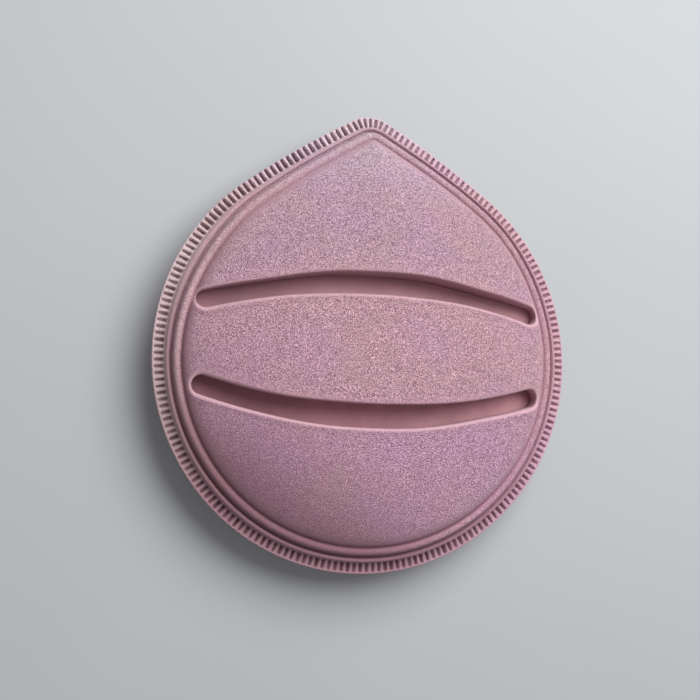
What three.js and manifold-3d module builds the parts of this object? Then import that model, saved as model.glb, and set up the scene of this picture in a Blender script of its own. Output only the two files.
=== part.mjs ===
// A powder puff with a finger band, in millimetres, +Z up. It lies on its soft face with the grip side up
// and the tip towards +Y. The origin is on the table, under the middle of the puff's length and width.
import * as THREE from 'three';
import { mergeVertices } from 'three/addons/utils/BufferGeometryUtils.js';
import Module from 'manifold-3d';

const wasm = await Module();
wasm.setup();

// The outline: a round heel, two slack flanks and a small round tip
const heelRadius = 41.7;
const tipReach = 6.6; // how far the tip stands out past the heel's full circle
const flankRadius = 193;
const panelTipRadius = 0.8; // the tip's round at the edge of the crowned panel

// The welded rim, from its outer edge inwards and up from its flat underside
const rimThickness = 1.1; // at the smooth outer edge
const edgeBand = 0.4; // smooth edge outside the ribs
const ribCount = 207;
const ribLength = 1.95;
const ribBevel = 0.25; // slope at each end of a rib
const ribRise = 0.2; // a crest over the outer edge
const ribDepth = 0.6; // a valley under a crest
const ribSlope = 0.3; // how much higher a rib's inner end is
const ledgeWidth = 0.75; // smooth ledge inside the ribs
const ledgeRise = 1.25; // over the ribs' inner ends

// The moulded grip cover: bead, pressed groove and shoulder, then the crowned panel
const skinThickness = 0.5;
const toeRise = 2.7; // from the rim's underside up to the cover's outer edge, where it meets the rim
const toeThickness = 0.15;
const beadWidth = 1.6;
const beadBulge = 0.45;
const grooveWidth = 0.5;
const grooveDip = 0.2;
const shoulderWidth = 0.9;
const shoulderRise = 2.75; // from the cover's outer edge up to the panel's edge
const crownRise = 4.9; // from the panel's edge up to the crown
const crownPower = 2.6; // higher is flatter in the middle and rounder at the edge
const tipFade = 3; // higher loses the tip's corner sooner towards the middle

// The two slots and the finger band that they leave between them
const slotWidth = 4.6;
const slotEndMargin = 0.9; // from the panel's edge at its widest to a slot's end
const frontSlot = { place: 14, arch: 3.84, side: 1 }; // its middle and its rise, towards the tip
const rearSlot = { place: 11.4, arch: 4.57, side: -1 }; // the same, towards the heel
const lipRound = 0.5;
const footShare = 0.25; // how far round a slot's end the turned-down skin has reached the floor

// The foam under the cover, thin under the band and as thick as the space under the tip and the heel, and the
// band's lining
const padThickness = 1.2;
const padEdge = 0.9; // the crowned foam stops this far inside the panel's edge
const liningThickness = 0.3;

// The pocket's floor, the sponge and the soft face
const floorThickness = 0.5;
const floorHeight = 1.1; // the floor's edge over the rim's underside
const floorRise = 1.5; // its middle over its edge
const faceThickness = 0.8;
const faceDepth = 8.4; // from the rim's underside to the flat that the puff lies on
const faceFlattening = 0.5; // how much of the soft face is pressed flat
const facePower = 4.5; // higher is squarer in plan from the edge inwards
const clearance = 0.3; // between layers that are bonded or lie on each other
const overrun = 2; // how far a cut runs past what it cuts

// Facets
const heelFacets = 20; // each half of the heel
const flankFacets = 3;
const tipFacets = 4;
const beadFacets = 4;
const faceFacets = 5;
const slotFacets = 10; // along one side of a slot
const slotEndFacets = 4;
const crownRingShares = [1, 0.9, 0.76, 0.58, 0.34];
const floorRingShares = [1, 0.7, 0.35];

// Widths and heights that follow from the sizes above
const rimWidth = edgeBand + ribLength + ledgeWidth;
const skinInset = rimWidth + clearance;
const panelInset = skinInset + beadWidth + grooveWidth + shoulderWidth;
const tipRadius = panelInset + panelTipRadius;
const panelRadius = heelRadius - panelInset;
const slotReach = panelRadius - slotEndMargin;
const slotEndX = slotReach - slotWidth / 2; // the middle of a slot's round end
const faceInset = rimWidth - faceThickness;
const rimBase = faceDepth;
const floorTop = rimBase + floorHeight;
const toeTop = rimBase + toeRise + toeThickness;
const panelTop = toeTop + shoulderRise;
const shoulderSlope = shoulderRise / (panelInset - skinInset);
const shoulderStretch = Math.hypot(1, shoulderSlope); // upright measure of what is square to the shoulder
const skinDrop = skinThickness * shoulderStretch;
const padDrop = skinThickness + clearance;
const liningDrop = padDrop + padThickness + clearance;
const coverDepth = liningDrop + liningThickness;
const slotGrowth = skinThickness + clearance; // the backing's cut round a slot's lip

// Arcs of the outline, counter-clockwise from the middle of the heel. Their centres, like all that follows,
// are measured from the heel's centre.
const quarterTurn = Math.PI / 2;
const tipCentre = new THREE.Vector2(0, heelRadius + tipReach - tipRadius);
const flankOffset = flankRadius - heelRadius;
const flankStart = Math.asin(
  ((flankRadius - tipRadius) ** 2 - flankOffset ** 2 - tipCentre.y ** 2) / (2 * flankOffset * tipCentre.y)
);
const flankCentre = new THREE.Vector2(Math.cos(flankStart), Math.sin(flankStart))
  .multiplyScalar(-flankOffset);
const flankEnd = Math.atan2(tipCentre.y - flankCentre.y, -flankCentre.x);
const heelCentre = new THREE.Vector2(0, 0);
const leftFlankCentre = new THREE.Vector2(-flankCentre.x, flankCentre.y);
const turns = [-quarterTurn, flankStart, flankEnd, Math.PI - flankEnd, Math.PI - flankStart, 3 * quarterTurn];
const arcs = [
  { centre: heelCentre, radius: heelRadius, facets: heelFacets },
  { centre: flankCentre, radius: flankRadius, facets: flankFacets },
  { centre: tipCentre, radius: tipRadius, facets: tipFacets },
  { centre: leftFlankCentre, radius: flankRadius, facets: flankFacets },
  { centre: heelCentre, radius: heelRadius, facets: heelFacets }
].map((arc, k) => ({ ...arc, from: turns[k], to: turns[k + 1] }));

// A station knows its arc and the direction that faces outwards there, so it can be inset along it.
function stationOn(arc, share) {
  const angle = THREE.MathUtils.lerp(arc.from, arc.to, share);
  const out = new THREE.Vector2(Math.cos(angle), Math.sin(angle));
  return { centre: arc.centre, radius: arc.radius, out };
}

function plainStations() {
  const onArc = (arc) => Array.from({ length: arc.facets }, (_, i) => stationOn(arc, i / arc.facets));
  return arcs.flatMap(onArc);
}

function evenStations(count) {
  const lengths = arcs.map((arc) => arc.radius * (arc.to - arc.from));
  const total = lengths.reduce((sum, length) => sum + length, 0);
  return Array.from({ length: count }, (_, i) => {
    let rest = (i * total) / count;
    let k = 0;
    while (k < arcs.length - 1 && rest > lengths[k]) {
      rest -= lengths[k];
      k += 1;
    }
    return stationOn(arcs[k], rest / lengths[k]);
  });
}

// The reach of a ring that is drawn in to a share of the outline. What the tip stands out past the heel's
// round shrinks faster than the rest, so that the rings lose the tip's corner towards the middle.
function drawnReach(reach, round, share) {
  return round * share + (reach - round) * share ** tipFade;
}

// A ring of points round the outline at an inset, drawn in to a share of its size round the heel's centre
function ring(stations, inset, height, share = 1) {
  return stations.map(({ centre, radius, out }) => {
    const point = out.clone().multiplyScalar(radius - inset).add(centre);
    point.setLength(drawnReach(point.length(), heelRadius - inset, share));
    return new THREE.Vector3(point.x, point.y, height);
  });
}

const layers = plainStations();

function layerRing(inset, height, share) {
  return ring(layers, inset, height, share);
}

// A closed mesh from rings that run outwards over the top and back under. A ring of one point is a pole.
function meshFromRings(rings, looped = false) {
  const points = rings.flat();
  const starts = rings.map((_, k) => rings.slice(0, k).reduce((sum, r) => sum + r.length, 0));
  const triangles = [];
  const bands = looped ? rings.length : rings.length - 1;
  for (let k = 0; k < bands; k += 1) {
    const next = (k + 1) % rings.length;
    const [a, b] = [starts[k], starts[next]];
    const [aCount, bCount] = [rings[k].length, rings[next].length];
    const count = Math.max(aCount, bCount);
    for (let i = 0; i < count; i += 1) {
      const j = (i + 1) % count;
      if (bCount > 1) triangles.push(a + (i % aCount), b + i, b + j);
      if (aCount > 1) triangles.push(a + i, b + (j % bCount), a + j);
    }
  }
  return indexedGeometry(points, triangles);
}

function indexedGeometry(points, triangles) {
  const geometry = new THREE.BufferGeometry().setFromPoints(points);
  geometry.setIndex(triangles);
  return geometry;
}

// Solids that can be joined and cut
function solid(geometry) {
  const bare = geometry.clone();
  bare.deleteAttribute('normal');
  bare.deleteAttribute('uv');
  const merged = mergeVertices(bare);
  const mesh = new wasm.Mesh({
    numProp: 3,
    vertProperties: new Float32Array(merged.attributes.position.array),
    triVerts: new Uint32Array(merged.index.array)
  });
  return new wasm.Manifold(mesh);
}

function geometryOf(body) {
  const mesh = body.getMesh();
  const geometry = new THREE.BufferGeometry();
  geometry.setAttribute('position', new THREE.BufferAttribute(new Float32Array(mesh.vertProperties), 3));
  geometry.setIndex(Array.from(mesh.triVerts));
  return geometry;
}

// How far an inset of the outline lies from the heel's centre, in a point's direction
function reachTowards(x, y, inset) {
  const direction = new THREE.Vector2(Math.abs(x), y).normalize();
  const turn = Math.atan2(direction.y, direction.x);
  const tipStart = new THREE.Vector2(Math.cos(flankEnd), Math.sin(flankEnd))
    .multiplyScalar(flankRadius - inset)
    .add(flankCentre);
  const onFlank = turn > flankStart;
  const onTip = turn > Math.atan2(tipStart.y, tipStart.x);
  const centre = onTip ? tipCentre : onFlank ? flankCentre : heelCentre;
  const radius = (onTip ? tipRadius : onFlank ? flankRadius : heelRadius) - inset;
  const along = direction.dot(centre);
  return along + Math.sqrt(along ** 2 - centre.lengthSq() + radius ** 2);
}

function crownHeight(share) {
  return panelTop + crownRise * (1 - share ** crownPower);
}

// The share of an inset outline at which a drawn-in ring runs through a point, found by halving
function shareAt(distance, reach, round) {
  let [low, high] = [0, 1];
  while (high - low > Number.EPSILON * 2) {
    const middle = (low + high) / 2;
    if (drawnReach(reach, round, middle) < distance) low = middle;
    else high = middle;
  }
  return high;
}

// The height of the cover's plain outer surface over any point: the crown, and outside it the shoulder
function coverTop(x, y) {
  const reach = reachTowards(x, y, panelInset);
  const distance = Math.hypot(x, y);
  if (distance > reach) return panelTop - (distance - reach) * shoulderSlope;
  return crownHeight(shareAt(distance, reach, panelRadius));
}

function floorTopAt(share) {
  return floorTop + floorRise * (1 - share ** 2);
}

function floorTopOver(x, y) {
  const share = shareAt(Math.hypot(x, y), reachTowards(x, y, skinInset), heelRadius - skinInset);
  return floorTopAt(share);
}

function shoulderHeight(inset) {
  return toeTop + (inset - skinInset) * shoulderSlope;
}

// Crown rings from the middle outwards, dropped below the cover's outer surface
function crownRings(drop, edgeShare = 1) {
  const shares = crownRingShares.map((share) => share * edgeShare).reverse();
  const rings = shares.map((share) => layerRing(panelInset, crownHeight(share) - drop, share));
  return [[new THREE.Vector3(0, 0, crownHeight(0) - drop)], ...rings];
}

// A slot's middle line is an arc that rises by its arch between the middles of its round ends.
function slotArc(slot) {
  const radius = (slotEndX ** 2 + slot.arch ** 2) / (2 * slot.arch);
  return { radius, centreY: slot.place - radius };
}

function arcPoints(centreX, centreY, radius, from, to, facets) {
  return Array.from({ length: facets }, (_, i) => {
    const angle = THREE.MathUtils.lerp(from, to, i / facets);
    return new THREE.Vector2(centreX + radius * Math.cos(angle), centreY + radius * Math.sin(angle));
  });
}

// A slot's outline, counter-clockwise, grown by an even margin
function slotOutline(slot, growth) {
  const half = slotWidth / 2 + growth;
  const { radius, centreY } = slotArc(slot);
  const halfTurn = Math.asin(slotEndX / radius);
  const endY = slot.place - slot.arch;
  const [right, left] = [quarterTurn - halfTurn, quarterTurn + halfTurn];
  const points = [
    ...arcPoints(0, centreY, radius - half, left, right, slotFacets),
    ...arcPoints(slotEndX, endY, half, right - Math.PI, right, slotEndFacets),
    ...arcPoints(0, centreY, radius + half, right, left, slotFacets),
    ...arcPoints(-slotEndX, endY, half, left, left + Math.PI, slotEndFacets)
  ];
  if (slot.side > 0) return points;
  return points.map((point) => new THREE.Vector2(point.x, -point.y)).reverse();
}

// A tower on outlines that are given from the bottom up, each with a height for every point
function tower(levels) {
  const count = levels[0].outline.length;
  const points = levels.flatMap(({ outline, height }) =>
    outline.map((point) => new THREE.Vector3(point.x, point.y, height(point.x, point.y)))
  );
  const triangles = [];
  for (let k = 0; k < levels.length - 1; k += 1) {
    for (let i = 0; i < count; i += 1) {
      const j = (i + 1) % count;
      const [a, b] = [k * count, (k + 1) * count];
      triangles.push(a + i, a + j, b + j, a + i, b + j, b + i);
    }
  }
  const last = (levels.length - 1) * count;
  for (const [a, b, c] of THREE.ShapeUtils.triangulateShape(levels[0].outline, [])) triangles.push(c, b, a);
  for (const [a, b, c] of THREE.ShapeUtils.triangulateShape(levels[levels.length - 1].outline, [])) {
    triangles.push(last + a, last + b, last + c);
  }
  return solid(indexedGeometry(points, triangles));
}

// The skin turned down into a slot, a wall along its outline before the slot is cut. On the band's side
// it covers the band's edge, and everywhere else it goes down to the floor.
function slotWall(slot) {
  const { radius, centreY } = slotArc(slot);
  const turned = slotOutline(slot, 0).map(({ x, y }) => {
    const across = (Math.hypot(x, slot.side * y - centreY) - radius) / slotWidth + 1 / 2;
    return THREE.MathUtils.clamp(across / footShare, 0, 1);
  });
  const top = (x, y) => coverTop(x, y) - skinDrop / 2;
  const bottom = (x, y, i) =>
    THREE.MathUtils.lerp(coverTop(x, y) - coverDepth, floorTopOver(x, y) + clearance, turned[i]);
  const wallRing = (growth, height) =>
    slotOutline(slot, growth).map(({ x, y }, i) => new THREE.Vector3(x, y, height(x, y, i)));
  const rings = [
    wallRing(-skinThickness, top), wallRing(skinThickness, top),
    wallRing(skinThickness, bottom), wallRing(-skinThickness, bottom)
  ];
  return solid(meshFromRings(rings, true));
}

// The cut through a slot, upright up to the lip's round and then flaring over the outer surface
function slotCut(slot) {
  const halfTurned = (1 - Math.SQRT1_2) * lipRound; // how far in and down the round is half way
  const levels = [
    { growth: 0, height: () => rimBase },
    { growth: 0, height: (x, y) => coverTop(x, y) - lipRound },
    { growth: halfTurned, height: (x, y) => coverTop(x, y) - halfTurned },
    { growth: lipRound, height: coverTop },
    { growth: lipRound, height: () => panelTop + crownRise + overrun }
  ];
  return tower(levels.map(({ growth, height }) => ({ outline: slotOutline(slot, growth), height })));
}

// The welded rim, a ring of radial ribs with a smooth edge outside them and a smooth ledge inside them
function crimpedRim() {
  const stations = evenStations(2 * ribCount);
  const edgeTop = rimBase + rimThickness;
  const ribEnd = edgeBand + ribLength;
  const ledgeFoot = edgeTop + ribRise + ribSlope;
  const ribRing = (inset, crest) =>
    ring(stations, inset, 0).map((point, i) => point.setZ(i % 2 === 0 ? crest : crest - ribDepth));
  return meshFromRings(
    [
      ring(stations, rimWidth, rimBase),
      ring(stations, rimWidth, ledgeFoot + ledgeRise),
      ring(stations, ribEnd, ledgeFoot),
      ribRing(ribEnd - ribBevel, ledgeFoot),
      ribRing(edgeBand + ribBevel, edgeTop + ribRise),
      ring(stations, edgeBand, edgeTop + ribRise / 2),
      ring(stations, 0, edgeTop),
      ring(stations, 0, rimBase)
    ],
    true
  );
}

// The moulded grip cover, one skin with its bead, groove, crown, slots and turned-down lips
function gripCover() {
  const beadEnd = skinInset + beadWidth;
  const bead = Array.from({ length: beadFacets + 1 }, (_, i) => {
    const share = i / beadFacets;
    const bulge = beadBulge * Math.sin(Math.PI * share);
    const tilt = Math.atan(shoulderSlope);
    const inset = skinInset + share * beadWidth;
    return layerRing(inset - bulge * Math.sin(tilt), shoulderHeight(inset) + bulge * Math.cos(tilt));
  });
  const grooveMiddle = beadEnd + grooveWidth / 2;
  const grooveEnd = beadEnd + grooveWidth;
  const toeBottom = toeTop - toeThickness;
  const toeEnd = skinInset + (skinDrop - toeThickness) / shoulderSlope;
  const shell = meshFromRings([
    ...crownRings(0),
    layerRing(grooveEnd, shoulderHeight(grooveEnd)),
    layerRing(grooveMiddle, shoulderHeight(grooveMiddle) - grooveDip),
    ...bead.reverse(),
    layerRing(skinInset, toeBottom),
    layerRing(toeEnd, toeBottom),
    layerRing(panelInset, panelTop - skinDrop),
    ...crownRings(skinThickness).slice(0, -1).reverse()
  ]);
  return [frontSlot, rearSlot].reduce(
    (body, slot) => body.add(slotWall(slot)).subtract(slotCut(slot)),
    solid(shell)
  );
}

// A body under the cover, from rings of its top down to a height for every point
function bodyUnder(top, bottom) {
  const base = top.map((points) => points.map(({ x, y }) => new THREE.Vector3(x, y, bottom(x, y))));
  return solid(meshFromRings([...top, ...base.reverse()]));
}

const crownedShare = 1 - padEdge / panelRadius;

// One layer of the band, between two depths below the cover's outer surface
function bandLayer(drop, thickness) {
  const bottom = (x, y) => coverTop(x, y) - drop - thickness;
  return bodyUnder(crownRings(drop, crownedShare), bottom).intersect(bandRegion);
}

// The foam that fills the space under the tip and the heel, and runs out thin under the bead
function panelFoam(part) {
  const footInset = skinInset + beadWidth;
  const foot = layerRing(footInset, shoulderHeight(footInset) - padDrop * shoulderStretch);
  const bottom = (x, y) => floorTopOver(x, y) + clearance;
  return bodyUnder([...crownRings(padDrop, crownedShare), foot], bottom).intersect(part);
}

// The side of a slot's cut in the foam, run out past the puff's sides
function slotSide(slot, side) {
  const { radius, centreY } = slotArc(slot);
  const sideRadius = radius + side * (slotWidth / 2 + slotGrowth);
  const halfTurn = Math.asin(panelRadius / sideRadius);
  const [left, right] = [quarterTurn + halfTurn, quarterTurn - halfTurn];
  const points = arcPoints(0, centreY, sideRadius, left, right, 2 * slotFacets);
  const endY = centreY + Math.sqrt(sideRadius ** 2 - panelRadius ** 2);
  points.unshift(new THREE.Vector2(-heelRadius, endY));
  points.push(new THREE.Vector2(panelRadius, endY), new THREE.Vector2(heelRadius, endY));
  return points.map((point) => new THREE.Vector2(point.x, slot.side * point.y));
}

function region(points) {
  const bottom = { outline: points, height: () => rimBase };
  const top = { outline: points, height: () => panelTop + crownRise + overrun };
  return tower([bottom, top]);
}

const puffEnd = heelRadius + tipReach + overrun;
const tipCorners = [new THREE.Vector2(heelRadius, puffEnd), new THREE.Vector2(-heelRadius, puffEnd)];
const heelCorners = [new THREE.Vector2(-heelRadius, -puffEnd), new THREE.Vector2(heelRadius, -puffEnd)];
const tipRegion = region([...slotSide(frontSlot, 1), ...tipCorners]);
const bandRegion = region([...slotSide(rearSlot, -1), ...slotSide(frontSlot, -1).reverse()]);
const heelRegion = region([...heelCorners, ...slotSide(rearSlot, 1).reverse()]);

// The pocket's floor and the sponge under it
function floorRings(drop) {
  const rings = floorRingShares.map((share) => layerRing(skinInset, floorTopAt(share) - drop, share));
  return [...rings, [new THREE.Vector3(0, 0, floorTopAt(0) - drop)]];
}

function pocketFloor() {
  return meshFromRings([...floorRings(0).reverse(), ...floorRings(floorThickness)]);
}

// The soft face's surface at an inset, from its edge down to the flat and its middle. Layers inside it share
// the form and are drawn in by their depth in the wall.
function faceRings(inset, wallDepth) {
  const depth = faceDepth + faceFlattening - wallDepth;
  const flatDepth = faceDepth - wallDepth;
  const flatTurn = Math.asin(flatDepth / depth);
  const rings = Array.from({ length: faceFacets + 1 }, (_, i) => {
    const turn = (flatTurn * i) / faceFacets;
    return layerRing(inset, rimBase - depth * Math.sin(turn), Math.cos(turn) ** (2 / facePower));
  });
  return [...rings, [new THREE.Vector3(0, 0, rimBase - flatDepth)]];
}

function foamCore() {
  const top = floorRings(floorThickness + clearance).reverse();
  return meshFromRings([...top, ...faceRings(skinInset, faceThickness + clearance)]);
}

function faceCover() {
  return meshFromRings([...faceRings(rimWidth, faceThickness).reverse(), ...faceRings(faceInset, 0)]);
}

// The assembly, in heel coordinates, moved so that the origin is under the middle of the puff's length
const puff = new THREE.Group();
puff.position.y = -tipReach / 2;

function addPiece(name, geometry, color, roughness) {
  geometry.computeVertexNormals();
  const material = new THREE.MeshStandardMaterial({ color, roughness, metalness: 0 });
  const piece = new THREE.Mesh(geometry, material);
  piece.name = name;
  puff.add(piece);
}

addPiece('face_cover', faceCover(), 0xcfabb5, 1);
addPiece('foam_core', foamCore(), 0xe9d3cf, 1);
addPiece('pocket_floor', pocketFloor(), 0x9b757c, 0.9);
addPiece('crimped_rim', crimpedRim(), 0xb98d9b, 0.85);
addPiece('grip_cover', geometryOf(gripCover()), 0xc49daa, 0.95);
addPiece('tip_pad', geometryOf(panelFoam(tipRegion)), 0xe3c7c6, 1);
addPiece('band_pad', geometryOf(bandLayer(padDrop, padThickness)), 0xe3c7c6, 1);
addPiece('heel_pad', geometryOf(panelFoam(heelRegion)), 0xe3c7c6, 1);
addPiece('band_lining', geometryOf(bandLayer(liningDrop, liningThickness)), 0xa98089, 0.9);

const assembly = new THREE.Group();
assembly.add(puff);
export default assembly;
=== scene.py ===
# %% [markdown]
# # A teardrop powder puff
#
# The part is a soft puff for powder, about 90 mm long, that lies on its soft face. What shows is the
# grip side: a brushed suede skin, moulded over foam, with a band that two fingers slip under. The solid
# model gives the outer sizes and the place. This script dresses it: each soft solid is replaced by a
# piece with the form and the finish of the real one, and nothing is moved.

# %% Load the frame
import math

import bpy
import numpy as np
from mathutils import Matrix, Vector
from mathutils.geometry import delaunay_2d_cdt


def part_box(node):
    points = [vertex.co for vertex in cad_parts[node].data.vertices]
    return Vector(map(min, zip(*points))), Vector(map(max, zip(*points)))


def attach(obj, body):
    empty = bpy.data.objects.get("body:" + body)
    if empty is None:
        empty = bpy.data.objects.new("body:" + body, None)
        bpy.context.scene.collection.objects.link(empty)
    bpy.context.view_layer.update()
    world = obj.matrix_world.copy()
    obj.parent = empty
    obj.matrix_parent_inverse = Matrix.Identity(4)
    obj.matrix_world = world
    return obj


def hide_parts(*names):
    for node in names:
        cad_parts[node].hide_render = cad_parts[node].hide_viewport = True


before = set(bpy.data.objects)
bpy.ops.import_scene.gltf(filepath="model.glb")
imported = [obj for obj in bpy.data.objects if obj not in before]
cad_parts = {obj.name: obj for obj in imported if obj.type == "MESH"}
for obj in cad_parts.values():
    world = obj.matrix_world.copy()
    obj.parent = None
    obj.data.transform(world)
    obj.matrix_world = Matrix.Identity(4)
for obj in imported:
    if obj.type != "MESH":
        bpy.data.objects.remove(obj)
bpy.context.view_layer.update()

scene = bpy.context.scene
print("nodes:", sorted(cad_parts))

# %% [markdown]
# ## Sizes
#
# The outline is made of arcs, as a steel cutting rule for such a puff is bent: a round heel, two slack
# flanks and a small round tip. The heel's radius and the tip's reach are read from the solids, so the
# skin follows them. All the shape work is in millimetres from the middle of the heel's round, as a maker
# thinks, and becomes metres only when a mesh is made.

# %% Read the sizes from the solids
mm = 0.001
rim_low, rim_high = (np.array(corner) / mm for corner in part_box("crimped_rim"))
cloth_low, cloth_high = (np.array(corner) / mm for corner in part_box("pocket_floor"))
heel_radius = (rim_high[0] - rim_low[0]) / 2
heel_y = rim_low[1] + heel_radius
tip_reach = rim_high[1] - rim_low[1] - 2 * heel_radius
rim_base, ledge_top = rim_low[2], rim_high[2]
crown_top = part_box("grip_cover")[1][2] / mm
cloth_thickness = 0.5
cloth_edge = cloth_low[2] + cloth_thickness
cloth_rise = cloth_high[2] - cloth_edge
print(f"heel radius {heel_radius:.1f}, tip reach {tip_reach:.1f} mm")
print(f"crown's top {crown_top:.1f}, edge of the pocket's cloth {cloth_edge:.1f} mm")

# %% Name the sizes of the forms
flank_radius = 193.0
tip_radius = 7.2
skin_inset = 3.4  # the weld's inner edge
panel_inset = 6.4  # where the shoulder meets the crown
panel_edge_height = 14.0
shoulder_slope = 0.917
crown_power = 2.6  # more is flatter in the middle and steeper at the edge
tip_fade = 3  # how soon the tip's corner fades towards the crown
crown_rise = crown_top - panel_edge_height
print(f"the crown rises {crown_rise:.1f} mm over the panel's edge")

# %% [markdown]
# ## The outline
#
# A station on the outline knows the centre and the radius of its arc and the way out, so a row of points
# at any inset is one short sum. A tangent chain of arcs stays smooth at every inset.

# %% Lay out the arcs
tip_centre = np.array([0.0, heel_radius + tip_reach - tip_radius])
flank_offset = flank_radius - heel_radius
flank_start = math.asin(
    ((flank_radius - tip_radius) ** 2 - flank_offset ** 2 - tip_centre[1] ** 2)
    / (2 * flank_offset * tip_centre[1]))
flank_centre = -flank_offset * np.array([math.cos(flank_start), math.sin(flank_start)])
flank_end = math.atan2(tip_centre[1] - flank_centre[1], -flank_centre[0])
right_arcs = [
    (np.zeros(2), heel_radius, -math.pi / 2, flank_start),
    (flank_centre, flank_radius, flank_start, flank_end),
    (tip_centre, tip_radius, flank_end, math.pi / 2),
]
print("arcs of the right half, in degrees:", [round(math.degrees(b - a), 1) for _, _, a, b in right_arcs])


def stations(count):
    """Centre, radius and outward direction at evenly spaced places round the outline."""
    mirrored = [(c * [-1, 1], r, math.pi - b, math.pi - a) for c, r, a, b in reversed(right_arcs)]
    arcs = right_arcs + mirrored
    ends = np.cumsum([0] + [r * (b - a) for _, r, a, b in arcs])
    along = np.arange(count) * ends[-1] / count
    which = np.clip(np.searchsorted(ends, along, "right") - 1, 0, len(arcs) - 1)
    centres, radii, starts = (np.array([arcs[k][part] for k in which]) for part in range(3))
    turns = starts + (along - ends[which]) / radii
    return centres, radii, np.column_stack([np.cos(turns), np.sin(turns)])


def row_at(row_stations, inset):
    """A row of plan points at an inset from the outline."""
    centres, radii, out = row_stations
    return centres + out * (radii - inset)[:, None]


# %% [markdown]
# ## How far in a point lies
#
# The skin's height depends on two measures of a point: its inset from the outline, and near the middle
# its share of the way from the crown to the panel's edge. The share is drawn in so that the tip's corner
# fades towards the crown, and it is found with a few steps of Newton's method.

# %% Measure a point's inset and share
def inset_of(points):
    """How far plan points lie inside the outline."""
    x, y = np.abs(points[:, 0]), points[:, 1]
    on_heel = np.arctan2(y, x) <= flank_start
    on_flank = np.arctan2(y - flank_centre[1], x - flank_centre[0]) <= flank_end
    heel, flank, tip = (radius - np.hypot(x - mid[0], y - mid[1]) for mid, radius, _, _ in right_arcs)
    return np.where(on_heel, heel, np.where(on_flank, flank, tip))


def reach_of(points, inset):
    """How far the outline at an inset lies from the heel's middle, in each point's direction."""
    x, y = np.abs(points[:, 0]), points[:, 1]
    turn = np.arctan2(y, x)
    tip_start = flank_centre + (flank_radius - inset) * np.array([math.cos(flank_end), math.sin(flank_end)])
    which = np.where(turn > math.atan2(*tip_start[::-1]), 2, np.where(turn > flank_start, 1, 0))
    centre_x, centre_y = np.array([arc[0] for arc in right_arcs])[which].T
    radius = np.array([arc[1] for arc in right_arcs])[which] - inset
    along = centre_x * np.cos(turn) + centre_y * np.sin(turn)
    return along + np.sqrt(along ** 2 - centre_x ** 2 - centre_y ** 2 + radius ** 2)


def share_of(points, inset):
    """The share of the way from the heel's middle to the outline at an inset."""
    plain = heel_radius - inset
    extra = reach_of(points, inset) - plain
    distance = np.hypot(points[:, 0], points[:, 1])
    share = distance / (plain + extra)
    for _ in range(8):
        error = plain * share + extra * share ** tip_fade - distance
        share = share - error / (plain + tip_fade * extra * share ** (tip_fade - 1))
    return share


# %% [markdown]
# ## The slots
#
# Each slot is a band round an arc, with round ends, and the two arcs bulge towards the tip and the heel. A
# point's distance from a slot's edge is its distance from that middle line less half the width there. The
# slots narrow a little towards their ends, each edge bows by a few tenths of a millimetre out of its arc,
# and each slot is turned by less than a degree, its right end towards the heel, so it has a frame of its
# own. The edges are rounded as a hot mould rolls the skin over: narrow along the middle, broad and flat
# round the ends, and with a slightly raised bead outside where the panel has room for it.

# %% Two ways to fade
def ease(low, high, value):
    """Runs smoothly from 0 at the first value to 1 at the second."""
    share = np.clip((value - low) / (high - low), 0, 1)
    return share * share * (3 - 2 * share)


def pressed_line(value, place, width):
    """Rises from 0 to 1 and falls again round a place."""
    return np.exp(-(((value - place) / width) ** 2))


print("halfway:", ease(0, 1, 0.5))

# %% Describe a slot
slot_width = 4.6
end_lip_depth = 0.7


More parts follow.
